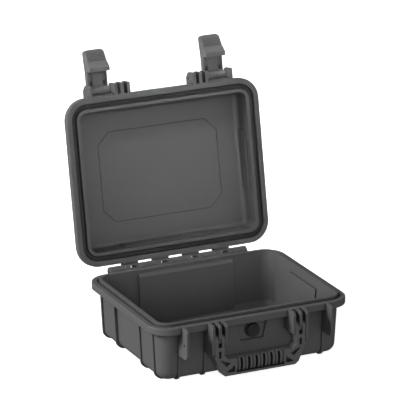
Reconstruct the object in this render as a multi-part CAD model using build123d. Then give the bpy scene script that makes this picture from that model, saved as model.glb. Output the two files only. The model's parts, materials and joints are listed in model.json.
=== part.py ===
"""Small hard carrying case with a hinged lid, two latches, a folding handle and a pressure valve.

Frame: +X to the right, +Y to the back, +Z up. The origin is the centre of the face that the
feet rest on. The lid stands open on its stop and the latches are swung out, as when packing.
Each function below builds one piece; the lid's pieces are built closed and then swung open.
"""
from build123d import *
import math
import os

# ---- overall sizes, mm ----
flange_width = 270.0        # outer width of both rims
flange_depth = 216.0        # outer depth of both rims
flange_radius = 28.0        # outer corner radius of both rims
flange_height = 9.2         # height of the base's rim band
base_height = 75.0          # feet to the top of the base's rim band
lid_height = 32.0           # lid's sealing face to its flat top
lid_flange_height = 9.0
lid_open_angle = 101.0      # degrees from closed to the stop
latch_open_angle = 90.0     # degrees from closed to swung out

# ---- shells ----
wall = 3.5
floor_thickness = 3.0
ceiling_thickness = 3.5
draft = 3.0                 # degrees
base_inset = 10.0           # base wall, in from the rim's edge
lid_inset = 14.5            # lid wall, in from the rim's edge
base_bottom_round = 12.0
cavity_bottom_round = 9.0
lid_top_round = 9.0
lid_ceiling_round = 6.5
rim_edge_round = 1.0
foot_height = 1.5
foot_rib_width = 3.0
foot_rib_reach = 24.0       # how far a foot rib runs in under the floor
centre_pad_radius = 15.0    # round pad under the middle of the floor
side_rib_places = (37.5, 77.0)
panel_step = 1.8            # side walls step in between the two middle ribs
rear_panel_half = 66.0
rear_panel_step = 4.0
rear_panel_drop = 4.5       # height of the slanted band over the rear panel
rear_panel_edge = 1.0       # from the rim's top to that band
valve_pad_half = 26.0
valve_pad_step = 3.0
valve_pad_rise = 2.0        # pad's slanted top, from over the rim band's lower edge
valve_pad_drop = 3.0        # to under it
mark_half = (84.5, 59.0)    # eight-sided groove in the lid's ceiling, half sizes
mark_corner = 16.5
mark_width = 1.4
mark_depth = 0.7
top_panel_depth = 0.8       # eight-sided panel sunk in the lid's flat top

dimple_radius = 0.8         # three small marks on each side wall
dimple_depth = 0.8
dimple_drop = 19.5          # below the base's rim top
dimple_places = (-28.5, 10.5, 49.5)

# ---- seal ----
lid_gap = 0.3               # between the two rims when closed
tongue_width = 4.2
tongue_height = 3.2
tongue_clearance = 0.4
rim_groove_width = 2.4
rim_groove_depth = 1.8
seal_groove_width = 7.0
seal_groove_depth = 6.5
gasket_width = 4.8
gasket_gap = 0.3            # over the tongue when closed

# ---- hinge ----
hinge_behind = 8.7          # axis behind the rim's rear edge
hinge_below = 2.9           # axis below the base's rim top
knuckle_radius = 7.0
knuckle_pitch = 21.5
knuckle_gap = 0.8
knuckle_count = 9
hinge_pin_radius = 2.0
pin_clearance = 0.05
window_width = 8.3
window_height = 2.3
window_slope = 20.6         # degrees, falling to the back when the lid is open

# ---- fins that guard the latches and hold the handle ----
fin_reach = 14.3            # out from the rim's edge
fin_thickness = 4.2
fin_pitch = 8.8
fin_group_centre = 55.1
guard_inner = 96.8
guard_thickness = 3.6
fin_chamfer = 3.0
guard_chamfer = 4.5
lid_fin_chamfer = 6.0       # corner away from the rim
outer_fin_drop = 39.5
inner_fin_drop = 28.0
lid_fin_height = 22.0
fin_edge_round = 0.7
saddle_over_rim = 1.5       # block under each latch's barrel, out from the rim's edge
saddle_height = 24.0

# ---- handle ----
handle_pivot_out = 7.0      # out from the rim's edge
handle_pivot_drop = 21.0
handle_pin_radius = 1.5
pin_proud = 0.3
ear_radius = 6.6
side_clearance = 0.3        # between a prong and a fin
fork_radius = 8.3           # from the pivot to the fork's crotch
handle_depth = 10.0
handle_front_back = 0.8     # handle's face behind the fins' faces
grip_top_drop = 46.0
grip_bottom_drop = 68.0
grip_slot_pitch = 10.2
grip_slot_width = 3.4
grip_slot_depth = 7.0
grip_slot_count = 6
grip_foot = 3.0             # flat strip under the grip's bars
grip_bulge = 4.2            # bars swell out this far from the grip's top and foot
grip_half = 33.0            # half length of the swelling part
grip_groove_width = 2.0     # shallow grooves between the slots
grip_groove_depth = 1.3
fin_boss_radius = 5.2
fin_boss_flat = 3.5         # straight front edge of the middle fin ends this far over the pin
fin_boss_lead = 4.2         # and slants in to this far in front of the pin
inner_fin_chamfer = 1.0
arm_shoulder = 2.0          # arm keeps its full width this far over the grip's top
arm_foot = (8.5, 4.0)       # first step of the arm's slanted foot: in, up
arm_toe = 13.5              # where the foot meets the grip's lower edge
elbow = 5.0                 # slant between an arm and the grip's top
handle_edge_round = 0.7
pocket_depth = 5.5          # pockets moulded in the handle's face
arm_slot_width = 3.2
arm_slot_depth = 4.5
arm_slot_drops = (34.0, 43.0)
elbow_pocket = ((7.2, 0.8), (-7.7, -5.6), (-2.6, -9.8))     # out from the arm's inner edge, up from the grip's top
toe_pocket = ((2.0, 13.0), (2.0, 4.6), (13.3, 5.0))         # out from the bars' end, up from the grip's lower edge

# ---- latches ----
latch_pivot_out = 6.5
latch_pivot_rise = 15.0     # above the lid's sealing face
latch_pin_radius = 1.5
latch_side_gap = 1.4        # plate to the fin and to the guard, each side
latch_barrel_radius = 4.5
latch_inner = 1.5           # inner face, outward from the pivot
latch_outer = 8.5           # outer face, outward from the pivot
latch_catch_gap = 0.3
hook_depth = 11.0
latch_length = 52.0
latch_ridges = 6
ridge_pitch = 2.1
ridge_radius = 0.8
ridge_end_margin = 3.5
latch_corner_round = 5.5
latch_slot_offset = 9.2
latch_slot_width = 4.6
latch_slot_drops = (6.0, 23.5)   # below the pivot
latch_slot_depth = 1.3
latch_window_drop = 12.3    # the slot's deeper end stops here
latch_window_depth = 5.0
barrel_overhang = 1.0       # barrel wider than the plate, each side
hook_lip = 5.6              # hook's thickness at its tip
pad_below_catch = 13.2      # where the ridged pad starts
pad_start_out = -1.2        # outward from the pivot
pad_end_out = 6.8
latch_side_round = 0.8
latch_tip_round = 1.6
latch_face_start = 3.0      # inner face starts inside the barrel, this far below the pivot
latch_tip = (3.0, 1.5)      # out from the outer face, up from the lower end
latch_bend = (1.5, 2.0)     # behind the pad's top: out from the outer face, up from the pad
latch_flare_drop = 24.0     # outer face starts to flare out here, below the pivot
latch_shoulder = ((0.0, 1.0), (-3.5, -3.5))     # out from the outer face, down from the pivot
latch_crown = 4.0           # outline's top over the pivot, inside the barrel

# ---- valve ----
valve_drop = 21.9           # below the base's rim top
valve_recess = 2.4
valve_recess_top_half = 21.0
valve_recess_low_half = 15.5
valve_recess_drop = 35.3
knob_radius = 8.7
knob_thickness = 5.2
knob_gap = 0.4
valve_disc_radius = 9.6
valve_disc_thickness = 1.6
valve_gasket_thickness = 1.0
valve_tube_radius = 5.0
valve_tube_length = 16.0
valve_bore_radius = 2.6
nut_across_flats = 15.0
nut_thickness = 4.0
membrane_thickness = 0.8
membrane_depth = 2.0        # set in from the tube's end
membrane_lip = 1.2          # tube wall round the membrane
knob_chamfer = 0.8
seal_ring_outer = 4.6
seal_ring_inner = 3.2
seal_ring_seat = 1.0        # depth of the ring's groove in the knob
seal_ring_thickness = 1.2
stem_length = 6.0           # knob's stem, in from the valve's face

past = 1.0                  # how far a cutter runs past what it cuts

# ---- places that follow ----
rim = base_height
half_width = flange_width / 2
front = -flange_depth / 2
fin_face = front - fin_reach
cavity_inset = base_inset + wall
lid_cavity_inset = lid_inset + wall
lid_rim = rim + lid_gap
hinge_y = flange_depth / 2 + hinge_behind
hinge_z = rim - hinge_below
handle_pivot = (front - handle_pivot_out, rim - handle_pivot_drop)
latch_pivot = (front - latch_pivot_out, lid_rim + latch_pivot_rise)
fin_centres = [fin_group_centre + k * fin_pitch for k in (1, 0, -1)]
latch_bay = (fin_centres[0] + fin_thickness / 2, guard_inner)
latch_centre = sum(latch_bay) / 2
latch_width = latch_bay[1] - latch_bay[0] - 2 * latch_side_gap
guard_centre = guard_inner + guard_thickness / 2
tongue_inset = cavity_inset - tongue_width
seal_inset = cavity_inset + tongue_clearance
valve_z = rim - valve_drop


def rim_outline(inset):
    """Rounded rectangle that runs the given distance inside the rims' edge."""
    width = flange_width - 2 * inset
    depth = flange_depth - 2 * inset
    return RectangleRounded(width, depth, flange_radius - inset)


def band(inset, low, high):
    """Upright block on a rim outline between two heights."""
    return extrude(Plane.XY.offset(low) * rim_outline(inset), high - low)


def tub(inset, start, end):
    """Drafted block that narrows from the start height to the end height."""
    way = 1 if end > start else -1
    face = Plane.XY.offset(start) * rim_outline(inset)
    return extrude(face, abs(end - start), dir=(0, 0, way), taper=draft)


def end_edges(solid, axis_end):
    """Edges of the flat face at the far end along Z: +1 the top, -1 the bottom."""
    faces = solid.faces().sort_by(Axis.Z)
    return (faces[-1] if axis_end > 0 else faces[0]).edges()


def rounded_tub(inset, start, end, radius):
    """Drafted block with its far edge rounded."""
    solid = tub(inset, start, end)
    return fillet(end_edges(solid, 1 if end > start else -1), radius)


def box(x, y, z):
    """Box between three pairs of limits."""
    centre = [(a + b) / 2 for a, b in (x, y, z)]
    return Pos(*centre) * Box(x[1] - x[0], y[1] - y[0], z[1] - z[0])


def yz_prism(points, x_low, x_high):
    """Polygon given as (y, z) points, run along X."""
    wire = Polyline([(x_low, y, z) for y, z in points], close=True)
    return extrude(make_face(wire), x_high - x_low, dir=(1, 0, 0))


def xz_prism(points, y_low, y_high):
    """Polygon given as (x, z) points, run along Y."""
    wire = Polyline([(x, y_low, z) for x, z in points], close=True)
    return extrude(make_face(wire), y_high - y_low, dir=(0, 1, 0))


def x_rod(y, z, radius, x_low, x_high):
    """Round bar along X."""
    return Pos((x_low + x_high) / 2, y, z) * Rot(0, 90, 0) * Cylinder(radius, x_high - x_low)


def y_rod(x, z, radius, y_low, y_high):
    """Round bar along Y."""
    return Pos(x, (y_low + y_high) / 2, z) * Rot(90, 0, 0) * Cylinder(radius, y_high - y_low)


def both_sides(solid):
    """The piece and its mirror image across the YZ plane."""
    return solid + mirror(solid, Plane.YZ)


def joined(solids):
    """One shape of several."""
    total = solids[0]
    for solid in solids[1:]:
        total += solid
    return total


def swung(solid, pivot, degrees):
    """Turned about a line along X through pivot = (y, z); positive lifts the front."""
    y, z = pivot
    return Pos(0, y, z) * Rot(-degrees, 0, 0) * Pos(0, -y, -z) * solid


def opened(solid):
    """Moved with the lid from closed to open."""
    return swung(solid, (hinge_y, hinge_z), lid_open_angle)


# ---- hinge ----
def knuckles(first):
    """Centres along X of every other knuckle, from the given one."""
    middle = (knuckle_count - 1) / 2
    return [(k - middle) * knuckle_pitch for k in range(first, knuckle_count, 2)]


def knuckle(centre, web_low, web_high):
    """Barrel with a web that joins it to the rear edge of a rim."""
    half = (knuckle_pitch - knuckle_gap) / 2
    span = (centre - half, centre + half)
    barrel = x_rod(hinge_y, hinge_z, knuckle_radius, *span)
    web = box(span, (flange_depth / 2 - wall, hinge_y), (web_low, web_high))
    return barrel + web


def hinge_bore():
    reach = knuckle_count * knuckle_pitch / 2 + past
    return x_rod(hinge_y, hinge_z, hinge_pin_radius + pin_clearance, -reach, reach)


def hinge_pin():
    reach = (knuckle_count * knuckle_pitch - knuckle_gap) / 2
    return x_rod(hinge_y, hinge_z, hinge_pin_radius, -reach, reach)


# ---- base ----
def fin(centre, thickness, points, round_from, round_to):
    """Upright plate on the front with the given side outline, its free edges rounded between two heights."""
    plate = yz_prism(points, centre - thickness / 2, centre + thickness / 2)
    outline = [e for e in plate.edges() if abs(e.tangent_at(0.5).X) < 0.5]
    free = [e for e in outline if e.center().Y < front - fin_edge_round and round_from < e.center().Z < round_to]
    return fillet(free, fin_edge_round)


def base_fin_outline(drop, low_chamfer):
    """Side outline of a fin that hangs below the base's rim."""
    back = front + base_inset + wall / 2
    return [(back, rim), (fin_face + fin_chamfer, rim), (fin_face, rim - fin_chamfer),
            (fin_face, rim - drop + low_chamfer), (fin_face + low_chamfer, rim - drop), (back, rim - drop)]


def middle_fin(centre):
    """Fin between the handle's prongs, rounded about the handle's pin."""
    y, z = handle_pivot
    back = front + base_inset + wall / 2
    low = z - fin_boss_radius + fin_edge_round
    points = [(back, rim), (fin_face + fin_chamfer, rim), (fin_face, rim - fin_chamfer),
              (fin_face, z + fin_boss_flat), (y - fin_boss_lead, z), (y, low), (back, low)]
    boss = x_rod(y, z, fin_boss_radius, centre - fin_thickness / 2, centre + fin_thickness / 2)
    return fin(centre, fin_thickness, points, z + fin_boss_flat, rim - fin_edge_round) + boss


def base_fins():
    """The three fins and the guard plate of the right side."""
    outer, middle, inner = fin_centres
    heights = (0, rim - fin_edge_round)
    group = fin(outer, fin_thickness, base_fin_outline(outer_fin_drop, fin_chamfer), *heights)
    group += fin(inner, fin_thickness, base_fin_outline(inner_fin_drop, inner_fin_chamfer), *heights)
    group += middle_fin(middle)
    guard_outline = base_fin_outline(outer_fin_drop, guard_chamfer)
    return group + fin(guard_centre, guard_thickness, guard_outline, *heights)


def foot_ribs():
    """Thin ribs that run down the walls, round the bottom edge and in under the floor."""
    skin = rounded_tub(base_inset - panel_step, rim - flange_height, 0, base_bottom_round)
    half = foot_rib_width / 2
    tall = (0, rim - flange_height)
    x_span = (half_width - base_inset - foot_rib_reach, half_width)
    y_in = flange_depth / 2 - base_inset - foot_rib_reach
    strips = []
    for sign in (1, -1):
        strips += [box(x_span, (sign * y - half, sign * y + half), tall) for y in side_rib_places]
        y_span = sorted((sign * y_in, sign * flange_depth / 2))
        strips += [box((x - half, x + half), y_span, tall) for x in (fin_centres[0], guard_centre)]
    return skin & both_sides(joined(strips))


def side_panel_cut():
    """Shallow step between the middle side ribs, on the outside of both walls."""
    half = side_rib_places[0] - foot_rib_width / 2
    zone = box((half_width - base_inset - foot_rib_reach, half_width), (-half, half), (-past, rim - flange_height))
    shell = tub(base_inset - past, rim - flange_height, -past)
    shell -= rounded_tub(base_inset + panel_step, rim - flange_height, foot_height, base_bottom_round)
    return shell & both_sides(zone)


def wall_dimples():
    """Small round marks in a row high on both side walls."""
    z = rim - dimple_drop
    face = half_width - base_inset - lean_over(dimple_drop - flange_height)
    marks = [x_rod(y, z, dimple_radius, face - panel_step - dimple_depth, half_width) for y in dimple_places]
    return both_sides(joined(marks))


def base_cavity():
    """Room inside the base, with the wall panels left standing."""
    floor = foot_height + floor_thickness
    room = rounded_tub(cavity_inset, rim, floor, cavity_bottom_round)
    half = side_rib_places[0] - foot_rib_width / 2
    panel_top = rim - flange_height
    zone = box((half_width - cavity_inset - foot_rib_reach, half_width), (-half, half), (0, panel_top))
    inner = tub(cavity_inset + panel_step, rim, floor - past)
    room -= (tub(cavity_inset - past, rim, 0) - inner) & both_sides(zone)
    back = flange_depth / 2 - cavity_inset
    band_top = rim - rear_panel_edge
    step_top = band_top - rear_panel_drop
    lean = lean_over(step_top - floor)
    slant = [(back + past, band_top), (back - rear_panel_step, step_top),
             (back - rear_panel_step - lean, floor - past), (back + past, floor - past)]
    room -= yz_prism(slant, -rear_panel_half, rear_panel_half)
    mouth = -back
    lean = lean_over(panel_top - floor)
    pad = [(mouth - past, panel_top + valve_pad_rise), (mouth + valve_pad_step, panel_top - valve_pad_drop),
           (mouth + valve_pad_step + lean, floor - past), (mouth - past, floor - past)]
    room -= yz_prism(pad, -valve_pad_half, valve_pad_half)
    return room + band(cavity_inset, rim, rim + tongue_height + past)


def lean_over(drop):
    """How far a drafted wall leans in over a height."""
    return math.tan(math.radians(draft)) * drop


def wall_front(height):
    """Y of the base's front wall face at a height."""
    return front + base_inset + lean_over(rim - flange_height - height)


valve_seat = wall_front(valve_z) + valve_recess


def valve_recess_cut():
    """Tapered recess round the valve, from the rim band down."""
    top = rim - flange_height
    low = rim - valve_recess_drop
    outline = [(-valve_recess_top_half, top), (-valve_recess_low_half, low),
               (valve_recess_low_half, low), (valve_recess_top_half, top)]
    return xz_prism(outline, front, valve_seat)


def base_shell():
    """Base with its rim, tongue, fins, guards, knuckles and foot ribs."""
    body = rounded_tub(base_inset, rim - flange_height, foot_height, base_bottom_round)
    body -= side_panel_cut()
    body += foot_ribs()
    body -= wall_dimples()
    body += Pos(0, 0, foot_height) * Cylinder(centre_pad_radius, 2 * foot_height)
    rim_band = band(0, rim - flange_height, rim)
    rim_band = fillet(end_edges(rim_band, 1) + end_edges(rim_band, -1), rim_edge_round)
    body += rim_band
    body += band(tongue_inset, rim, rim + tongue_height)
    body += both_sides(base_fins())
    groove = band(tongue_inset - rim_groove_width, rim - rim_groove_depth, rim + past)
    body -= groove - band(tongue_inset, rim - rim_groove_depth - past, rim + 2 * past)
    body -= base_cavity()
    body -= valve_recess_cut()
    for centre in knuckles(0):
        body += knuckle(centre, rim - flange_height, rim - lid_gap)
    body -= hinge_bore()
    reach = guard_inner + guard_thickness + past
    body -= x_rod(*handle_pivot, handle_pin_radius + pin_clearance, -reach, reach)
    body -= y_rod(0, valve_z, valve_tube_radius + pin_clearance, front, front + 3 * cavity_inset)
    return body


# ---- handle ----
def handle_pin():
    """Pin through one group of fins on the right side."""
    low = fin_centres[2] - fin_thickness / 2 - pin_proud
    high = fin_centres[0] + fin_thickness / 2 + pin_proud
    return x_rod(*handle_pivot, handle_pin_radius, low, high)


def grip_swell(face, low, high, shrink, half_length):
    """Bar along X whose front swells to the given face between two heights."""
    centre = (-half_length, face + grip_bulge, (low + high) / 2)
    section = Plane(centre, x_dir=(0, 1, 0), z_dir=(1, 0, 0)) * Ellipse(grip_bulge - shrink, (high - low) / 2 - shrink)
    return extrude(section, 2 * half_length)


def grip_cuts(face, low, high):
    """What is cut from the grip: the room round its swelling bars, deep slots and shallow grooves."""
    front_half = (face - past, face + grip_bulge)
    room = box((-grip_half, grip_half), front_half, (low, high + past))
    cuts = room - grip_swell(face, low, high, 0, grip_half + past)
    inner = grip_swell(face, low, high, grip_groove_depth, grip_half + past)
    slots, grooves = [], []
    for k in range(grip_slot_count + 1):
        x = (k - grip_slot_count / 2) * grip_slot_pitch
        grooves.append(box((x - grip_groove_width / 2, x + grip_groove_width / 2), front_half, (low, high)))
    for k in range(grip_slot_count):
        x = (k - (grip_slot_count - 1) / 2) * grip_slot_pitch
        slots.append(box((x - grip_slot_width / 2, x + grip_slot_width / 2),
                         (face - past, face + grip_slot_depth), (low + past, high - past)))
    return cuts + (joined(grooves) - inner) + joined(slots)


def handle():
    """Handle with two forked arms and a grip of swelling bars."""
    y, z = handle_pivot
    face = fin_face + handle_front_back
    back = face + handle_depth
    deep = face + pocket_depth
    arm_in = fin_centres[2] + fin_thickness / 2 + side_clearance
    arm_out = fin_centres[0] - fin_thickness / 2 - side_clearance
    top = rim - grip_top_drop
    low = rim - grip_bottom_drop
    foot_in, foot_up = arm_foot
    outline = [(arm_in, z), (arm_out, z), (arm_out, top + arm_shoulder), (arm_out - foot_in, low + foot_up),
               (arm_out - arm_toe, low), (0, low), (0, top), (arm_in - elbow, top), (arm_in, top + elbow)]
    side = xz_prism(outline, face, back)
    rims = [e for e in side.edges() if abs(e.tangent_at(0.5).Y) < 0.5 and e.center().X > handle_edge_round]
    side = fillet([e for e in rims if e.center().Z < z - handle_edge_round], handle_edge_round)
    side += x_rod(y, z, ear_radius, arm_in, arm_out)
    middle = fin_thickness / 2 + side_clearance
    slot = (fin_group_centre - middle, fin_group_centre + middle)
    over = (z, z + 2 * ear_radius)
    side -= box(slot, (face - past, back + ear_radius), (z - fork_radius, over[1]))
    ear_zone = box((arm_in - past, arm_out + past), (face - past, back + past), over)
    side -= ear_zone - x_rod(y, z, ear_radius, arm_in - 2 * past, arm_out + 2 * past)
    side -= xz_prism([(arm_in + out, top + up) for out, up in elbow_pocket], face - past, deep)
    side -= xz_prism([(grip_half + out, low + up) for out, up in toe_pocket], face - past, deep)
    half = arm_slot_width / 2
    high_drop, low_drop = arm_slot_drops
    side -= box((fin_group_centre - half, fin_group_centre + half), (face - past, face + arm_slot_depth),
                (rim - low_drop, rim - high_drop))
    body = both_sides(side) - grip_cuts(face, low + grip_foot, top)
    return body - x_rod(y, z, handle_pin_radius + pin_clearance, -arm_out - past, arm_out + past)


# ---- lid, closed ----
def lid_fins():
    """The lid's three fins and guard plate of the right side."""
    back = front + lid_inset + wall / 2
    top = lid_rim + lid_fin_height
    small, large = inner_fin_chamfer, lid_fin_chamfer
    points = [(back, lid_rim), (fin_face + small, lid_rim), (fin_face, lid_rim + small),
              (fin_face, top - large), (fin_face + large, top), (back, top)]
    heights = (lid_rim + lid_flange_height, top + past)
    group = fin(guard_centre, guard_thickness, points, *heights)
    for centre in fin_centres:
        group += fin(centre, fin_thickness, points, *heights)
    bay = (fin_centres[0], guard_centre)
    saddle = box(bay, (front - saddle_over_rim, back), (lid_rim + rim_edge_round, lid_rim + saddle_height))
    lips = saddle.edges().filter_by(Axis.X).sort_by(Axis.Y)[:2]
    return group + fillet(lips, saddle_over_rim)


def lid_cavity():
    """Room inside the lid, with the wall panels left standing."""
    ceiling = lid_rim + lid_height - ceiling_thickness
    room = rounded_tub(lid_cavity_inset, lid_rim, ceiling, lid_ceiling_round)
    inner = tub(lid_cavity_inset + panel_step, lid_rim, ceiling + past)
    half = side_rib_places[0]
    tall = (lid_rim + flange_height, ceiling + 2 * past)
    side_zone = box((half_width - 2 * foot_rib_reach, half_width), (-half, half), tall)
    deep = flange_depth / 2
    long_zone = box((-rear_panel_half, rear_panel_half), (-deep, -deep + 2 * foot_rib_reach), tall)
    zones = both_sides(side_zone) + long_zone + mirror(long_zone, Plane.XZ)
    return room - ((tub(lid_cavity_inset - past, lid_rim, ceiling + past) - inner) & zones)


def octagon(shrink, low, high):
    """Block with the mark's eight-sided outline, smaller all round by the given distance."""
    half_x, half_y = (size - shrink for size in mark_half)
    corner = mark_corner - (2 - math.sqrt(2)) * shrink
    points = []
    for sx, sy in ((1, 1), (-1, 1), (-1, -1), (1, -1)):
        pair = [(sx * half_x, sy * (half_y - corner)), (sx * (half_x - corner), sy * half_y)]
        points += pair if sx * sy > 0 else pair[::-1]
    face = make_face(Polyline([(x, y, low) for x, y in points], close=True))
    return extrude(face, high - low, dir=(0, 0, 1))


def ceiling_mark():
    """Thin eight-sided groove in the lid's ceiling."""
    ceiling = lid_rim + lid_height - ceiling_thickness
    ring = octagon(0, ceiling - past, ceiling + mark_depth)
    return ring - octagon(mark_width, ceiling - 2 * past, ceiling + 2 * past)


def knuckle_windows():
    """Slots through the lid's knuckles, just over the pin when the lid is open."""
    reach = 2 * knuckle_radius
    low = hinge_pin_radius + pin_clearance
    half = window_width / 2
    slots = [box((x - half, x + half), (-reach, reach), (low, low + window_height)) for x in knuckles(1)]
    tilted = Pos(0, hinge_y, hinge_z) * Rot(-window_slope, 0, 0) * joined(slots)
    return swung(tilted, (hinge_y, hinge_z), -lid_open_angle)


def lid_shell():
    """Closed lid with its rim, fins, guards, knuckles and seal groove."""
    flange_top = lid_rim + lid_flange_height
    body = rounded_tub(lid_inset, flange_top, lid_rim + lid_height, lid_top_round)
    flange = band(0, lid_rim, flange_top)
    body += fillet(end_edges(flange, 1) + end_edges(flange, -1), rim_edge_round)
    body += both_sides(lid_fins())
    body -= lid_cavity()
    groove = band(seal_inset - seal_groove_width, lid_rim - past, lid_rim + seal_groove_depth)
    body -= groove - band(seal_inset, lid_rim - 2 * past, lid_rim + seal_groove_depth + past)
    body -= ceiling_mark()
    body -= octagon(0, lid_rim + lid_height - top_panel_depth, lid_rim + lid_height + past)
    for centre in knuckles(1):
        body += knuckle(centre, lid_rim, flange_top)
    body -= hinge_bore()
    body -= knuckle_windows()
    reach = guard_inner + guard_thickness + past
    return body - x_rod(*latch_pivot, latch_pin_radius + pin_clearance, -reach, reach)


def lid_gasket():
    """Ring seal at the bottom of the lid's groove."""
    side = (seal_groove_width - gasket_width) / 2
    low = rim + tongue_height + gasket_gap
    top = lid_rim + seal_groove_depth
    outer = band(seal_inset - side - gasket_width, low, top)
    return outer - band(seal_inset - side, low - past, top + past)


# ---- latch, closed, right side ----
def latch_point(out, down):
    """Point given outward and downward from the latch's pivot."""
    return (latch_pivot[0] - out, latch_pivot[1] - down)


catch_down = latch_pivot[1] - (rim - flange_height) + latch_catch_gap
pad_down = catch_down + pad_below_catch
pad_top = (pad_start_out, pad_down)
pad_end = (pad_end_out, latch_length)
hook_out = latch_inner - hook_depth
hook_tip = (hook_out, catch_down + hook_lip)
finger_tip = (latch_outer + latch_tip[0], latch_length - latch_tip[1])


def latch_outline():
    """Side outline: barrel end, inner face, hook, slanted pad, outer face."""
    places = [(latch_inner, latch_face_start), (latch_inner, catch_down), (hook_out, catch_down), hook_tip,
              pad_top, pad_end, finger_tip, (latch_outer + latch_bend[0], pad_down - latch_bend[1]),
              (latch_outer, latch_flare_drop)]
    places += [(latch_outer + out, down) for out, down in latch_shoulder]
    return [latch_point(*place) for place in [*places, (0, -latch_crown)]]


def latch_prism(x_low, x_high):
    """Latch's side outline run along X, with its hook, tip and side edges rounded."""
    body = yz_prism(latch_outline(), x_low, x_high)
    tips = [latch_point(*hook_tip), latch_point(*finger_tip)]
    across = body.edges().filter_by(Axis.X)
    body = fillet([e for e in across if any(math.dist((e.center().Y, e.center().Z), t) < past for t in tips)],
                  latch_tip_round)
    sides = body.faces().sort_by(Axis.X)
    return fillet(sides[0].edges() + sides[-1].edges(), latch_side_round)


def pad_ridges(x_low, x_high):
    """Round ridges across the finger pad, from its top down."""
    ridges = []
    for k in range(latch_ridges):
        share = (k + 0.5) * ridge_pitch / math.dist(pad_top, pad_end)
        place = [a + (b - a) * share for a, b in zip(pad_top, pad_end)]
        ridges.append(x_rod(*latch_point(*place), ridge_radius, x_low, x_high))
    return joined(ridges)


def latch_end_round(x_low, x_high):
    """Tall block with the corners of its lower end rounded, as the finger end is in the front view."""
    end = latch_pivot[1] - latch_length
    block = box((x_low, x_high), (fin_face - latch_length, 0), (end, rim + latch_length))
    lower_edges = block.edges().filter_by(Axis.Y).sort_by(Axis.Z)[:2]
    return fillet(lower_edges, latch_corner_round)


def latch():
    """Latch with its barrel, hook, slanted finger pad and two slots in its inner face."""
    x_low = latch_centre - latch_width / 2
    x_high = latch_centre + latch_width / 2
    body = latch_prism(x_low, x_high)
    body &= latch_end_round(x_low, x_high)
    barrel = (x_low - barrel_overhang, x_high + barrel_overhang)
    body += x_rod(*latch_pivot, latch_barrel_radius, *barrel)
    body += pad_ridges(x_low + ridge_end_margin, x_high - ridge_end_margin)
    face, pivot_z = latch_point(latch_inner, 0)
    near, far = latch_slot_drops
    for sign in (1, -1):
        x = latch_centre + sign * latch_slot_offset
        span = (x - latch_slot_width / 2, x + latch_slot_width / 2)
        body -= box(span, (face - latch_slot_depth, face + past), (pivot_z - far, pivot_z - near))
        body -= box(span, (face - latch_window_depth, face + past), (pivot_z - latch_window_drop, pivot_z - near))
    return body - x_rod(*latch_pivot, latch_pin_radius + pin_clearance, barrel[0] - past, barrel[1] + past)


def latch_pin():
    """Pin from the guard plate to the outer fin, right side."""
    low = fin_centres[0] - fin_thickness / 2 - pin_proud
    high = guard_inner + guard_thickness + pin_proud
    return x_rod(*latch_pivot, latch_pin_radius, low, high)


# ---- valve ----
valve_disc_face = valve_seat - valve_gasket_thickness - valve_disc_thickness
valve_tube_end = valve_seat - valve_gasket_thickness + valve_tube_length
knob_face = valve_disc_face - knob_gap - knob_thickness
knob_back = knob_face + knob_thickness
valve_wall_inside = front + cavity_inset + valve_pad_step


def valve_wall_face(height):
    """Y of the inside of the valve's pad at a height, which leans with the wall."""
    return valve_wall_inside + lean_over(rim - flange_height - height)


def valve_gasket():
    """Flat ring between the valve's flange and the wall."""
    start = valve_seat - valve_gasket_thickness
    ring = y_rod(0, valve_z, valve_disc_radius, start, valve_seat)
    return ring - y_rod(0, valve_z, valve_tube_radius + pin_clearance, start - past, valve_seat + past)


def valve_body():
    """Flanged tube through the wall, wider inside at its end for the membrane."""
    disc_back = valve_seat - valve_gasket_thickness
    body = y_rod(0, valve_z, valve_disc_radius, valve_disc_face, disc_back)
    body += y_rod(0, valve_z, valve_tube_radius, disc_back, valve_tube_end)
    body -= y_rod(0, valve_z, valve_bore_radius, valve_disc_face - past, valve_tube_end + past)
    seat = valve_tube_end - membrane_depth
    return body - y_rod(0, valve_z, valve_tube_radius - membrane_lip, seat, valve_tube_end + past)


def valve_nut():
    """Six-sided nut inside the case, clear of the leaning wall by its washer face."""
    half = nut_across_flats / 2
    corner = 2 * half / math.sqrt(3)
    near = valve_wall_face(valve_z - corner)
    far = near + nut_thickness
    prism = extrude(RegularPolygon(half, 6, major_radius=False), nut_thickness)
    nut = Pos(0, far, valve_z) * Rot(90, 0, 0) * prism
    return nut - y_rod(0, valve_z, valve_tube_radius + pin_clearance, near - past, far + past)


def valve_membrane():
    """Thin breathing disc in the inner end of the tube."""
    seat = valve_tube_end - membrane_depth
    return y_rod(0, valve_z, valve_tube_radius - membrane_lip, seat, seat + membrane_thickness)


def valve_knob():
    """Round knob with a stem in the valve's bore and a groove for its seal."""
    cap = y_rod(0, valve_z, knob_radius, knob_face, knob_back)
    cap = chamfer(cap.faces().sort_by(Axis.Y)[0].edges(), knob_chamfer)
    seat = knob_back - seal_ring_seat
    cap -= y_rod(0, valve_z, seal_ring_outer, seat, knob_back + past)
    cap += y_rod(0, valve_z, seal_ring_inner, seat, knob_back)
    return cap + y_rod(0, valve_z, valve_bore_radius - pin_clearance, seat, valve_disc_face + stem_length)


def valve_seal_ring():
    """Soft ring held in the knob's underside."""
    low = knob_back - seal_ring_seat
    high = low + seal_ring_thickness
    ring = y_rod(0, valve_z, seal_ring_outer, low, high)
    return ring - y_rod(0, valve_z, seal_ring_inner, low - past, high + past)


def swung_latch(solid):
    """A latch piece, swung out on the lid and then moved with it."""
    return opened(swung(solid, latch_pivot, latch_open_angle))


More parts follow.
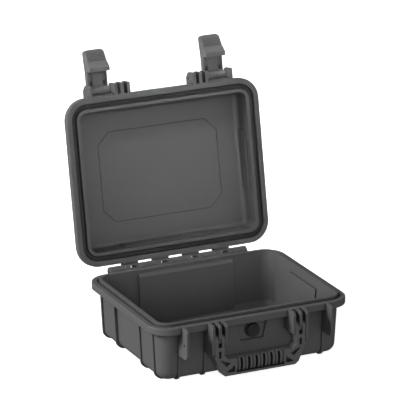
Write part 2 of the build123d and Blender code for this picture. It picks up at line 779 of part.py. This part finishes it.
def main():
    os.makedirs("parts", exist_ok=True)
    right_latch = swung_latch(latch())
    right_latch_pin = opened(latch_pin())
    right_handle_pin = handle_pin()
    pieces = {
        "base_shell": base_shell(),
        "lid_shell": opened(lid_shell()),
        "lid_gasket": opened(lid_gasket()),
        "hinge_pin": hinge_pin(),
        "latch_right": right_latch,
        "latch_left": mirror(right_latch, Plane.YZ),
        "latch_pin_right": right_latch_pin,
        "latch_pin_left": mirror(right_latch_pin, Plane.YZ),
        "handle": handle(),
        "handle_pin_right": right_handle_pin,
        "handle_pin_left": mirror(right_handle_pin, Plane.YZ),
        "valve_body": valve_body(),
        "valve_gasket": valve_gasket(),
        "valve_nut": valve_nut(),
        "valve_membrane": valve_membrane(),
        "valve_knob": valve_knob(),
        "valve_seal_ring": valve_seal_ring(),
    }
    for name, shape in pieces.items():
        export_step(shape, f"parts/{name}.step")


if __name__ == "__main__":
    main()
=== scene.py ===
"""Hard carrying case: finishes, seal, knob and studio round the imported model.

The frame is in metres: +X right, +Y back, +Z up, with the case standing on Z = 0.
"""

import json
import math

import bpy
import numpy as np
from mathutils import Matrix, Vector


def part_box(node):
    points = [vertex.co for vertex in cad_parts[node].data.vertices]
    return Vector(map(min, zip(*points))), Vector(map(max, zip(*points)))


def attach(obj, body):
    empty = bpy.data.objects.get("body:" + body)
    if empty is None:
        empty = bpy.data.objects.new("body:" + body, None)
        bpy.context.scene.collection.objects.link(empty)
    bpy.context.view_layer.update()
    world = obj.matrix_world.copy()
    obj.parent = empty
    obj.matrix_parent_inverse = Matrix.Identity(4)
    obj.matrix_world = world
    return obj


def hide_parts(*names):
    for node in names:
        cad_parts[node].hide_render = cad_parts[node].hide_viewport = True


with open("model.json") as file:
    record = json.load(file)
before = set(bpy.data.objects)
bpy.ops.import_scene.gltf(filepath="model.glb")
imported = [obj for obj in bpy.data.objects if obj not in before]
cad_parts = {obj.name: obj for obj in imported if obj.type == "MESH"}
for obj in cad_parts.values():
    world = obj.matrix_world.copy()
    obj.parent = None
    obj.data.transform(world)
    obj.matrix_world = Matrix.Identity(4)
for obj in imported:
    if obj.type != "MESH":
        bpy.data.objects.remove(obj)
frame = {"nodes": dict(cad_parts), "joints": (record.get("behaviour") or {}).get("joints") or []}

bl_info = {
    "name": "Hard carrying case",
    "version": (1, 0, 0),
    "blender": (4, 5, 0),
    "location": "View3D > Sidebar > Carrying case",
    "description": "Gives the case its moulded finishes, its seal, its valve knob and a plain studio",
    "category": "Object",
}

RIM_WIDTH, RIM_DEPTH, RIM_CORNER = 0.270, 0.216, 0.028
SEAL_MIDDLE = 0.08015           # height of the seal ring's middle while the lid is shut
HINGE_LOW, HINGE_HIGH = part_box("hinge_pin")
HINGE = (HINGE_LOW + HINGE_HIGH) / 2
LID_OPEN = math.radians(next(j for j in frame["joints"] if j["name"] == "lid_hinge")["range_deg"][1])

MIX_FIRST, MIX_SECOND, MIX_RESULT = 6, 7, 2     # a Mix node's colour sockets

# moulded plastic
MOTTLE_SIZE = 0.035             # width of one patch of the flow mottling
MOTTLE_SHARE, GRAIN_SHARE = 0.35, 0.3       # what each noise adds to the shade
DARKER, PALER = 0.86, 1.14      # the shade's two ends, as shares of the tone
# edges painted paler: partly a painted highlight, partly wear
EDGE_HIGHLIGHT_TONE, EDGE_HIGHLIGHT_SHARE = 2.2, 0.6
# grey that the painted shade darkens towards, as a share of the tone
PAINTED_SHADE_TONE = 0.1
# painted shade: reach, hidden share where the darkening starts and is full, and how much it darkens; the first
# paints shade over the piece's deep inside, the second in its gaps
ROOM_PAINTED_SHADE = (0.15, 0.2, 0.6, 0.5)
GAP_PAINTED_SHADE = (0.014, 0.2, 0.65, 0.85)
# painted shade in fine grooves: reach, and the hidden share where it starts and is full
LINE_REACH, LINE_START, LINE_FULL = 0.0022, 0.08, 0.35
# how far each noise moves the roughness
GRAIN_DULL, MOTTLE_DULL, RUBBED_GLOSS = 0.16, 0.1, 0.08
EDGE_START, EDGE_FULL = 0.02, 0.16          # turn of the rounded normal, as 1 - cosine
PLASTIC_IOR, RUBBER_IOR = 1.49, 1.45

# valve knob, from its face to its stem's end
KNOB_EDGE = 0.0009              # rounding round the face
KNOB_LIP = 0.0004               # rounding at the back
RING_SEAT = 0.001               # depth of the seal ring's groove
RING_OUTER, RING_INNER = 0.0046, 0.0032
STEM_RADIUS, STEM_EDGE = 0.00255, 0.0003
FACE_START = 0.02               # radius of the face's first ring, as a share
KNOB_STEPS = 180
KNOB_SHARP = math.radians(35)

PIN_BULGE = 0.35                # height of a pin's domed end, as a share of its radius
PIN_TIP = 0.02                  # radius of the dome's flat tip, as a share
PIN_STEPS = 32

FLOOR_HALF = 12.0
SENSOR_WIDTH = 36.0             # millimetres
CLIP_END = 50.0
BODY_MIDDLE = Vector((0.0, 0.0, 0.12))      # what the key and the fill point at
LATCHES_OVER = Vector((0.0, 0.0, 0.05))     # the latches' middle, over the lid's top


# ---- shader expressions ----
class Link:
    """A node's output that can be used in Python arithmetic; each operator adds a Math node."""

    def __init__(self, finish, socket):
        self.finish, self.socket = finish, socket

    def _math(self, operation, first, second):
        return self.finish.node("ShaderNodeMath", {"operation": operation}, {0: first, 1: second})

    def __add__(self, other):
        return self._math("ADD", self, other)

    def __sub__(self, other):
        return self._math("SUBTRACT", self, other)

    def __rsub__(self, other):
        return self._math("SUBTRACT", other, self)

    def __mul__(self, other):
        return self._math("MULTIPLY", self, other)

    __radd__ = __add__
    __rmul__ = __mul__

    def larger(self, other):
        return self._math("MAXIMUM", self, other)

    def step(self, low, high):
        """0 below low, 1 above high, smooth between."""
        kind = {"interpolation_type": "SMOOTHSTEP"}
        return self.finish.node("ShaderNodeMapRange", kind, {"Value": self, "From Min": low, "From Max": high})


class Finish:
    """A material round one Principled BSDF, with its nodes written as expressions."""

    def __init__(self, name, **fixed):
        self.material = bpy.data.materials.new(name)
        self.material.use_nodes = True
        self.tree = self.material.node_tree
        self.shader = self.tree.nodes["Principled BSDF"]
        for socket, value in fixed.items():
            self.shader.inputs[socket.replace("_", " ").title().replace("Ior", "IOR")].default_value = value

    def node(self, kind, settings=None, inputs=None, output=0):
        """Adds a node: its settings first, then the value or the link of each socket."""
        made = self.tree.nodes.new(kind)
        for key, value in (settings or {}).items():
            setattr(made, key, value)
        for key, value in (inputs or {}).items():
            if isinstance(value, Link):
                self.tree.links.new(value.socket, made.inputs[key])
            else:
                made.inputs[key].default_value = value
        return Link(self, made.outputs[output])

    def noise(self, size, detail=2.0, roughness=0.5, stretch=(1.0, 1.0, 1.0)):
        """Noise whose lumps are about size metres across, in Object coordinates."""
        place = self.node("ShaderNodeTexCoord", output="Object")
        place = self.node("ShaderNodeMapping", None, {"Vector": place, "Scale": stretch})
        return self.node("ShaderNodeTexNoise", None,
                         {"Vector": place, "Scale": 1.0 / size, "Detail": detail, "Roughness": roughness})

    def soft_edges(self, radius):
        """Normals rounded over sharp edges."""
        return self.node("ShaderNodeBevel", {"samples": 4}, {"Radius": radius})

    def painted_shade_mask(self, reach, low, high):
        """Mask for painted shade: 0 where less than the low share of the sky is hidden within reach, 1 over the
        high share.

        Only the piece itself hides it, so that the mask is the same at every pose.
        """
        open_share = self.node("ShaderNodeAmbientOcclusion", {"samples": 6, "only_local": True},
                               {"Distance": reach}, "AO")
        return (1 - open_share).step(low, high)

    def edge_mask(self, rounded):
        """1 where the rounded normal leaves the true one, which is along edges."""
        true = self.node("ShaderNodeNewGeometry", output="True Normal")
        dot = self.node("ShaderNodeVectorMath", {"operation": "DOT_PRODUCT"}, {0: rounded, 1: true}, "Value")
        return (1 - dot).step(EDGE_START, EDGE_FULL)

    def bump(self, height, depth, normal=None):
        """Normal of a surface raised by height * depth, over the given normal."""
        links = {"Height": height, "Distance": depth}
        if normal is not None:
            links["Normal"] = normal
        return self.node("ShaderNodeBump", None, links)

    def colour(self, mask, low, high):
        """low where mask is 0, high where it is 1; each is a grey level or a link."""
        ends = [end if isinstance(end, Link) else grey(end) for end in (low, high)]
        sockets = {"Factor": mask, MIX_FIRST: ends[0], MIX_SECOND: ends[1]}
        return self.node("ShaderNodeMix", {"data_type": "RGBA"}, sockets, MIX_RESULT)

    def out(self, socket, link):
        self.tree.links.new(link.socket, self.shader.inputs[socket])


def grey(level):
    return (level, level, level, 1.0)


def moulded(name, tone, roughness, grain, grain_depth, edge, line_shade=0.85):
    """Moulded plastic: a fine spark-eroded grain, faint flow mottling, edges painted paler as a highlight and
    as wear, and painted shade in its gaps, fine grooves and deep inside.
    """
    finish = Finish(name, ior=PLASTIC_IOR)
    rounded = finish.soft_edges(edge)
    edge_highlight_and_wear = finish.edge_mask(rounded)
    mottle = finish.noise(MOTTLE_SIZE, 3.0)
    speck = finish.noise(grain, 3.0, 0.6)
    shade = (mottle - 0.5) * MOTTLE_SHARE + (speck - 0.5) * GRAIN_SHARE + 0.5
    clean = finish.colour(shade, tone * DARKER, tone * PALER)
    # edges painted paler: a painted highlight along the rounded edges, partly wear
    highlighted_and_worn = finish.colour(edge_highlight_and_wear * EDGE_HIGHLIGHT_SHARE, clean, tone * EDGE_HIGHLIGHT_TONE)
    # painted shade: over the piece's deep inside, in its gaps and in fine grooves
    room, gap = (finish.painted_shade_mask(*limits) * share for *limits, share in (ROOM_PAINTED_SHADE, GAP_PAINTED_SHADE))
    line = finish.painted_shade_mask(LINE_REACH, LINE_START, LINE_FULL) * line_shade
    finish.out("Base Color", finish.colour(room.larger(gap).larger(line), highlighted_and_worn, tone * PAINTED_SHADE_TONE))
    finish.out("Roughness", (speck - 0.5) * GRAIN_DULL + (mottle - 0.5) * MOTTLE_DULL
               - edge_highlight_and_wear * RUBBED_GLOSS + roughness)
    finish.out("Normal", finish.bump(speck, grain_depth, rounded))
    return finish.material


def rubber(name, tone, pore, depth=0.00006):
    """Foam rubber: dark open pores between paler walls, and a dull face."""
    finish = Finish(name, roughness=0.85, ior=RUBBER_IOR)
    cells = finish.noise(pore, 2.0, 0.7)
    holes = cells.step(0.35, 0.6)
    finish.out("Base Color", finish.colour(holes, tone * 0.72, tone * 1.1))
    finish.out("Normal", finish.bump(holes, depth))
    return finish.material


def blackened(name, low=0.05, high=0.13, line_width=0.0006, depth=0.00001):
    """Steel with a black oxide skin, drawn along X, so that its lines are long that way."""
    finish = Finish(name, metallic=1.0)
    lines = finish.noise(line_width, 2.0, 0.5, (0.03, 1.0, 1.0))
    finish.out("Base Color", finish.colour(lines, low, high))
    finish.out("Roughness", lines * 0.25 + 0.28)
    finish.out("Normal", finish.bump(lines, depth))
    return finish.material


def membrane_cloth(name, low=0.45, high=0.6, thread=0.0004, depth=0.00003):
    """Pale breathing film with a fine weave."""
    finish = Finish(name, roughness=0.9)
    weave = finish.noise(thread, 1.0)
    finish.out("Base Color", finish.colour(weave, low, high))
    finish.out("Normal", finish.bump(weave, depth))
    return finish.material


def dress(node, material):
    """Puts one material on a node of the model."""
    slots = frame["nodes"][node].data.materials
    slots.clear()
    slots.append(material)


# ---- surfaces ----
def opened(points):
    """Points of the closed lid, turned about the hinge's axis by the lid's opening angle."""
    y, z = points[..., 1] - HINGE.y, points[..., 2] - HINGE.z
    cos, sin = math.cos(LID_OPEN), math.sin(LID_OPEN)
    return np.stack([points[..., 0], HINGE.y + y * cos + z * sin, HINGE.z - y * sin + z * cos], axis=-1)


def grid_faces(rows, columns, closed_rows=False):
    """Quads between the points of a grid whose columns close on themselves."""
    r = np.arange(rows if closed_rows else rows - 1)[:, None]
    c = np.arange(columns)[None, :]
    after, beside = (r + 1) % rows, (c + 1) % columns
    return np.stack([r * columns + c, r * columns + beside, after * columns + beside, after * columns + c],
                    axis=-1).reshape(-1, 4)


def add_piece(name, points, faces, material, body, nodes):
    """Makes a smooth mesh piece that stands for some nodes and rides with their body."""
    mesh = bpy.data.meshes.new(name)
    mesh.from_pydata(points.reshape(-1, 3).tolist(), [], [f.tolist() for f in faces])
    mesh.shade_smooth()
    mesh.materials.append(material)
    piece = bpy.data.objects.new(name, mesh)
    bpy.context.scene.collection.objects.link(piece)
    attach(piece, body)
    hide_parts(*nodes)
    return piece


def rounded_rectangle(half_x, half_y, radius, steps):
    """Points and outward normals of a rectangle with round corners: four quarter circles in turn."""
    turn = np.linspace(0.0, math.pi / 2, steps)[None, :] + np.arange(4)[:, None] * math.pi / 2
    normals = np.stack([np.cos(turn), np.sin(turn)], axis=-1)
    signs = np.array([(1, 1), (-1, 1), (-1, -1), (1, -1)])[:, None, :]
    centres = signs * np.array([half_x - radius, half_y - radius])
    return (centres + radius * normals).reshape(-1, 2), normals.reshape(-1, 2)


def seal_ring(p):
    """A cord section carried round the lid's rim.

    The section at angle u is (a c|c|^-1/2, b s|s|^-1/2), c and s being the cosine and sine of u: a square with
    soft corners. Its pressing face is dented along the middle by a bell curve, dent * exp(-(x / spread)^2).
    """
    u = np.arange(p.seal_section_steps) * 2 * math.pi / p.seal_section_steps
    c, s = np.cos(u), np.sin(u)
    across = p.seal_width / 2 * np.sign(c) * np.sqrt(np.abs(c))
    up = p.seal_height / 2 * np.sign(s) * np.sqrt(np.abs(s))
    up = up + np.where(s < 0, p.seal_dent * np.exp(-(across / p.seal_dent_spread) ** 2), 0.0)
    low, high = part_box("lid_gasket")
    half_x = high.x - p.seal_width / 2
    shrink = RIM_WIDTH / 2 - half_x
    path, normals = rounded_rectangle(half_x, RIM_DEPTH / 2 - shrink, RIM_CORNER - shrink, p.seal_corner_steps)
    flat = path[:, None, :] + normals[:, None, :] * across[None, :, None]
    height = np.broadcast_to(SEAL_MIDDLE + up[None, :, None], (*flat.shape[:2], 1))
    return opened(np.concatenate([flat, height], axis=-1)), grid_faces(len(path), len(u), True)


def turned(profile, count, flute=0.0, flutes=1):
    """A profile turned about an axis, with flutes.

    At angle a the radius is radius * (1 - flute * share * wave), wave being (1 - cos(flutes * a)) / 2. A row of
    the profile is its place along the axis, its radius, and the share of the flutes' depth that it has. Flat
    faces close the two ends. Gives (along, side, up) points and the faces.
    """
    angle = np.arange(count) * 2 * math.pi / count
    wave = 0.5 - 0.5 * np.cos(flutes * angle)
    radius = profile[:, 1:2] * (1 - flute * profile[:, 2:3] * wave[None, :])
    along = np.broadcast_to(profile[:, 0:1], radius.shape)
    points = np.stack([along, radius * np.cos(angle), radius * np.sin(angle)], axis=-1)
    faces = list(grid_faces(len(profile), count))
    last = (len(profile) - 1) * count
    return points, [*faces, np.arange(count)[::-1], last + np.arange(count)]


def domed_pin(node, steps=9):
    """Round bar along X whose ends are domes.

    A dome's profile is a quarter ellipse: bulge * (1 - sin t) along and radius * cos t out, t going from a
    quarter turn to 0, with a small flat tip added.
    """
    low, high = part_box(node)
    radius = (high.z - low.z) / 2
    t = np.linspace(math.pi / 2, 0.0, steps)
    inset = PIN_BULGE * radius * (1 - np.sin(t))
    out = radius * (np.cos(t) + PIN_TIP) / (1 + PIN_TIP)
    left = np.stack([low.x + inset, out, np.zeros(steps)], axis=-1)
    right = np.stack([high.x - inset, out, np.zeros(steps)], axis=-1)[::-1]
    points, faces = turned(np.concatenate([left, right]), PIN_STEPS)
    middle = np.array([0.0, (low.y + high.y) / 2, (low.z + high.z) / 2])
    return points + middle, faces


def knob_profile(face, back, end, radius, dish):
    """Rows of the valve knob's profile, from its face to its stem's end, for turned().

    The face is hollowed by dish * (1 - r^4), r being the share of the face's radius. The shoulder is a quarter
    circle, and the flutes grow over it with the sine of its angle.
    """
    flat = radius - KNOB_EDGE
    share = np.linspace(FACE_START, 1.0, 14)
    hollow = np.stack([face + dish * (1 - share ** 4), share * flat, np.zeros(len(share))], axis=-1)
    t = np.linspace(0.0, math.pi / 2, 8)
    shoulder = np.stack([face + KNOB_EDGE * (1 - np.cos(t)), flat + KNOB_EDGE * np.sin(t), np.sin(t)], axis=-1)
    along = np.linspace(face + KNOB_EDGE, back - KNOB_LIP, 6)[1:]
    side = np.stack([along, np.full(len(along), radius), np.ones(len(along))], axis=-1)
    seat = back - RING_SEAT
    rest = [(back, radius - KNOB_LIP, 0.6), (back, RING_OUTER, 0), (seat, RING_OUTER, 0), (seat, RING_INNER, 0),
            (back, RING_INNER, 0), (back, STEM_RADIUS, 0), (end - STEM_EDGE, STEM_RADIUS, 0),
            (end, STEM_RADIUS - STEM_EDGE, 0), (end, STEM_EDGE, 0)]
    return np.concatenate([hollow, shoulder, side, np.array(rest)])


# ---- sizes and colours ----
class CaseFinishes(bpy.types.PropertyGroup):
    shell_tone: bpy.props.FloatProperty(name="Shell tone", description="Grey of the two shells",
                                        default=0.092, min=0.0, max=1.0, subtype="FACTOR")
    shell_roughness: bpy.props.FloatProperty(name="Shell roughness",
                                             description="Dullness of the shells' grain",
                                             default=0.56, min=0.0, max=1.0, subtype="FACTOR")
    fitting_tone: bpy.props.FloatProperty(name="Fitting tone",
                                          description="Grey of the latches and the handle",
                                          default=0.115, min=0.0, max=1.0, subtype="FACTOR")
    fitting_roughness: bpy.props.FloatProperty(name="Fitting roughness", default=0.36, min=0.0, max=1.0,
                                               description="Dullness of the latches and the handle",
                                               subtype="FACTOR")
    valve_tone: bpy.props.FloatProperty(name="Valve tone", description="Grey of the valve's body and nut",
                                        default=0.022, min=0.0, max=1.0, subtype="FACTOR")
    valve_roughness: bpy.props.FloatProperty(name="Valve roughness",
                                             description="Dullness of the valve's body",
                                             default=0.45, min=0.0, max=1.0, subtype="FACTOR")
    rubber_tone: bpy.props.FloatProperty(name="Rubber tone",
                                         description="Grey of the valve's gasket and ring",
                                         default=0.05, min=0.0, max=1.0, subtype="FACTOR")
    grain: bpy.props.FloatProperty(name="Grain", description="Width of one lump of the moulded grain",
                                   default=0.0007, min=0.0001, max=0.01, precision=5, unit="LENGTH")
    grain_depth: bpy.props.FloatProperty(name="Grain depth", description="Height of the moulded grain",
                                         default=0.00007, min=0.0, max=0.001, precision=6, unit="LENGTH")


class CaseSeal(bpy.types.PropertyGroup):
    # the foam's grey is set dark enough to stand also for painted shade in the lid's groove
    foam_tone_and_groove_shade: bpy.props.FloatProperty(name="Foam tone", description="Grey of the lid's seal", default=0.032,
                                       min=0.0, max=1.0, subtype="FACTOR")
    foam_pore: bpy.props.FloatProperty(name="Foam pore", description="Width of one pore of the seal's foam",
                                       default=0.0006, min=0.0001, precision=4, unit="LENGTH")
    seal_width: bpy.props.FloatProperty(name="Seal width", description="Across the ring's section",
                                        default=0.0048, min=0.0005, precision=4, unit="LENGTH")
    seal_height: bpy.props.FloatProperty(name="Seal height",
                                         description="From the groove's floor to the ring's face",
                                         default=0.0033, min=0.0005, precision=4, unit="LENGTH")
    seal_dent: bpy.props.FloatProperty(name="Seal dent",
                                       description="Depth of the line pressed along the ring",
                                       default=0.0006, min=0.0, precision=4, unit="LENGTH")
    seal_dent_spread: bpy.props.FloatProperty(name="Dent spread", description="Half width of that line",
                                              default=0.0007, min=0.0001, precision=4, unit="LENGTH")
    seal_section_steps: bpy.props.IntProperty(name="Section steps",
                                              description="Points round the ring's section",
                                              default=48, min=8)
    seal_corner_steps: bpy.props.IntProperty(name="Corner steps",
                                             description="Points round each of its corners",
                                             default=24, min=4)


class CaseKnob(bpy.types.PropertyGroup):
    tone: bpy.props.FloatProperty(name="Knob tone", description="Grey of the knob", default=0.02, min=0.0,
                                  max=1.0, subtype="FACTOR")
    roughness: bpy.props.FloatProperty(name="Knob roughness",
                                       description="Dullness of the knob", default=0.42,
                                       min=0.0, max=1.0, subtype="FACTOR")
    flutes: bpy.props.IntProperty(name="Flutes", description="Grip flutes round the knob", default=30, min=3)
    flute_share: bpy.props.FloatProperty(name="Flute depth",
                                         description="Share of the radius that a flute takes",
                                         default=0.035, min=0.0, max=0.3)
    dish: bpy.props.FloatProperty(name="Dish", description="How far the knob's face is hollowed",
                                  default=0.0006, min=0.0, precision=4, unit="LENGTH")


class CaseStudio(bpy.types.PropertyGroup):
    azimuth: bpy.props.FloatProperty(name="Azimuth", description="Where the camera stands round the case",
                                     default=math.radians(-25.655), subtype="ANGLE")
    elevation: bpy.props.FloatProperty(name="Elevation", description="How high the camera stands",
                                       default=math.radians(18.708), subtype="ANGLE")
    distance: bpy.props.FloatProperty(name="Distance", description="From the camera to the point it looks at",
                                      default=3.966, unit="LENGTH")
    lens: bpy.props.FloatProperty(name="Lens", description="Focal length on a 36 mm sensor",
                                  default=276.43, unit="CAMERA")
    target: bpy.props.FloatVectorProperty(name="Target", description="The point the camera looks at",
                                          default=(-0.01336, 0.0, 0.1826), subtype="TRANSLATION")
    key_power: bpy.props.FloatProperty(name="Key light",
                                       description="Power of the soft light at the upper left",
                                       default=82.0, subtype="POWER")
    fill_power: bpy.props.FloatProperty(name="Fill light",
                                        description="Power of the soft light over the camera",
                                        default=27.0, subtype="POWER")
    lid_power: bpy.props.FloatProperty(name="Lid light",
                                       description="Power of the narrow light on the open lid",
                                       default=0.24, subtype="POWER")
    latch_power: bpy.props.FloatProperty(name="Latch light",
                                         description="Power of the narrow light on the latches",
                                         default=0.08, subtype="POWER")
    lid_spread: bpy.props.FloatProperty(name="Lid beam", description="Width of the lid light's beam",
                                        default=math.radians(12), subtype="ANGLE")
    latch_spread: bpy.props.FloatProperty(name="Latch beam", description="Width of the latch light's beam",
                                          default=math.radians(5), subtype="ANGLE")
    sky: bpy.props.FloatProperty(name="Surround", description="Strength of the even light all round",
                                 default=0.17, min=0.0)
    floor_glow: bpy.props.FloatProperty(name="Floor glow",
                                        description="How far the floor is lifted towards white",
                                        default=0.85, min=0.0)


# ---- operators ----
class CASE_OT_finishes(bpy.types.Operator):
    """Gives the moulded, rubber and film nodes their materials"""
    bl_idname = "case.finishes"
    bl_label = "Finishes"

    def execute(self, context):
        p = context.scene.case_finishes
        shell = moulded("shell_plastic", p.shell_tone, p.shell_roughness, p.grain, p.grain_depth, edge=0.0004)
        fitting = moulded("fitting_plastic", p.fitting_tone, p.fitting_roughness, p.grain * 0.8,
                          p.grain_depth * 0.6, edge=0.0002, line_shade=0.55)
        black = moulded("valve_plastic", p.valve_tone, p.valve_roughness, p.grain * 0.7, p.grain_depth * 0.5,
                        edge=0.0003)
        for name in ("base_shell", "lid_shell"):
            dress(name, shell)
        for name in ("latch_right", "latch_left", "handle"):
            dress(name, fitting)
        for name in ("valve_body", "valve_nut"):
            dress(name, black)
        seal = rubber("seal_rubber", p.rubber_tone, pore=0.0004)
        for name in ("valve_gasket", "valve_seal_ring"):
            dress(name, seal)
        dress("valve_membrane", membrane_cloth("membrane_film"))
        return {"FINISHED"}


class CASE_OT_seal(bpy.types.Operator):
    """Makes the soft ring in the lid's groove"""
    bl_idname = "case.seal"
    bl_label = "Seal"

    def execute(self, context):
        p = context.scene.case_seal
        points, faces = seal_ring(p)
        # the seal's grey holds painted shade for the groove as well as the foam's own colour
        foam = rubber("seal_foam", p.foam_tone_and_groove_shade, p.foam_pore)
        add_piece("seal_ring", points, faces, foam, "lid", ["lid_gasket"])
        return {"FINISHED"}


class CASE_OT_knob(bpy.types.Operator):
    """Makes the fluted valve knob with its stem"""
    bl_idname = "case.knob"
    bl_label = "Valve knob"

    def execute(self, context):
        p = context.scene.case_knob
        low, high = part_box("valve_knob")
        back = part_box("valve_seal_ring")[0].y + RING_SEAT
        profile = knob_profile(low.y, back, high.y, (high.x - low.x) / 2, p.dish)
        points, faces = turned(profile, KNOB_STEPS, p.flute_share, p.flutes)
        along, sideways, up = points[..., 0], points[..., 1], points[..., 2]
        points = np.stack([-sideways, along, (low.z + high.z) / 2 + up], axis=-1)
        black = moulded("knob_plastic", p.tone, p.roughness, grain=0.0005, grain_depth=0.00004, edge=0.0003)
        knob = add_piece("fluted_knob", points, faces, black, "valve_knob", ["valve_knob"])
        knob.data.set_sharp_from_angle(angle=KNOB_SHARP)
        return {"FINISHED"}


class CASE_OT_pins(bpy.types.Operator):
    """Makes the hinge, latch and handle pins with domed ends"""
    bl_idname = "case.pins"
    bl_label = "Pins"

    def execute(self, context):
        steel = blackened("blackened_steel")
        for node, body in (("hinge_pin", "base"), ("latch_pin_right", "lid"), ("latch_pin_left", "lid"),
                           ("handle_pin_right", "base"), ("handle_pin_left", "base")):
            points, faces = domed_pin(node)
            add_piece(f"domed_{node}", points, faces, steel, body, [node])
        return {"FINISHED"}


def area_light(name, place, target, size, power, spread=math.pi):
    """Square white light that points at the target, its beam as wide as the spread angle."""
    data = bpy.data.lights.new(name, "AREA")
    data.shape, data.size, data.energy, data.spread = "SQUARE", size, power, spread
    lamp = bpy.data.objects.new(name, data)
    bpy.context.scene.collection.objects.link(lamp)
    lamp.location = place
    lamp.rotation_euler = (Vector(target) - Vector(place)).to_track_quat("-Z", "Y").to_euler()


class CASE_OT_stage(bpy.types.Operator):
    """Makes the floor, the lights and the camera"""
    bl_idname = "case.stage"
    bl_label = "Stage"

    def execute(self, context):
        scene, p = context.scene, context.scene.case_studio
        half = FLOOR_HALF
        corners = [(-half, -half, 0.0), (half, -half, 0.0), (half, half, 0.0), (-half, half, 0.0)]
        mesh = bpy.data.meshes.new("floor")
        mesh.from_pydata(corners, [], [(0, 1, 2, 3)])
        floor = bpy.data.objects.new("floor", mesh)
        scene.collection.objects.link(floor)
        paper = Finish("floor_paper", roughness=0.9, base_color=grey(0.9), emission_color=grey(1.0),
                       emission_strength=p.floor_glow)
        mesh.materials.append(paper.material)
        floor.visible_diffuse = False
        floor.visible_glossy = False
        world = bpy.data.worlds.new("studio")
        world.use_nodes = True
        surround = world.node_tree.nodes["Background"]
        surround.inputs["Color"].default_value = grey(1.0)
        surround.inputs["Strength"].default_value = p.sky
        scene.world = world
        scene.view_settings.view_transform = "Standard"
        lid_low, lid_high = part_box("lid_shell")
        lid_top = Vector((0.0, (lid_low.y + lid_high.y) / 2, lid_high.z))
        area_light("key", (-2.25, 0.35, 1.4), BODY_MIDDLE, 0.8, p.key_power)
        area_light("fill", (-0.9, -2.5, 0.95), BODY_MIDDLE, 0.9, p.fill_power)
        area_light("lid_light", (-0.7, -1.9, 1.3), lid_top, 0.4, p.lid_power, p.lid_spread)
        area_light("latch_light", (-0.5, -0.8, 2.6), lid_top + LATCHES_OVER, 0.2, p.latch_power, p.latch_spread)
        data = bpy.data.cameras.new("camera")
        data.sensor_width, data.lens, data.clip_end = SENSOR_WIDTH, p.lens, CLIP_END
        camera = bpy.data.objects.new("camera", data)
        scene.collection.objects.link(camera)
        back = Vector((math.sin(p.azimuth) * math.cos(p.elevation),
                       -math.cos(p.azimuth) * math.cos(p.elevation), math.sin(p.elevation)))
        camera.location = Vector(p.target) + back * p.distance
        camera.rotation_euler = (-back).to_track_quat("-Z", "Y").to_euler()
        scene.camera = camera
        return {"FINISHED"}


class CASE_PT_panel(bpy.types.Panel):
    """Lists the case's sizes, colours and steps"""
    bl_idname = "CASE_PT_panel"
    bl_label = "Carrying case"
    bl_space_type = "VIEW_3D"
    bl_region_type = "UI"
    bl_category = "Carrying case"

    def draw(self, context):
        for group in GROUPS.values():
            values = getattr(context.scene, group)
            for name in values.__annotations__:
                self.layout.prop(values, name)
        for step in STEPS:
            self.layout.operator(step.bl_idname)


GROUPS = {CaseFinishes: "case_finishes", CaseSeal: "case_seal", CaseKnob: "case_knob",
          CaseStudio: "case_studio"}
STEPS = (CASE_OT_finishes, CASE_OT_seal, CASE_OT_knob, CASE_OT_pins, CASE_OT_stage)
CLASSES = (*GROUPS, *STEPS, CASE_PT_panel)


def register():
    for cls in CLASSES:
        bpy.utils.register_class(cls)
    for group, name in GROUPS.items():
        setattr(bpy.types.Scene, name, bpy.props.PointerProperty(type=group))


def unregister():
    for name in GROUPS.values():
        delattr(bpy.types.Scene, name)
    for cls in reversed(CLASSES):
        bpy.utils.unregister_class(cls)


def main():
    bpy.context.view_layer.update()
    register()
    bpy.ops.case.finishes()
    bpy.ops.case.seal()
    bpy.ops.case.knob()
    bpy.ops.case.pins()
    bpy.ops.case.stage()


if __name__ == "__main__":
    main()
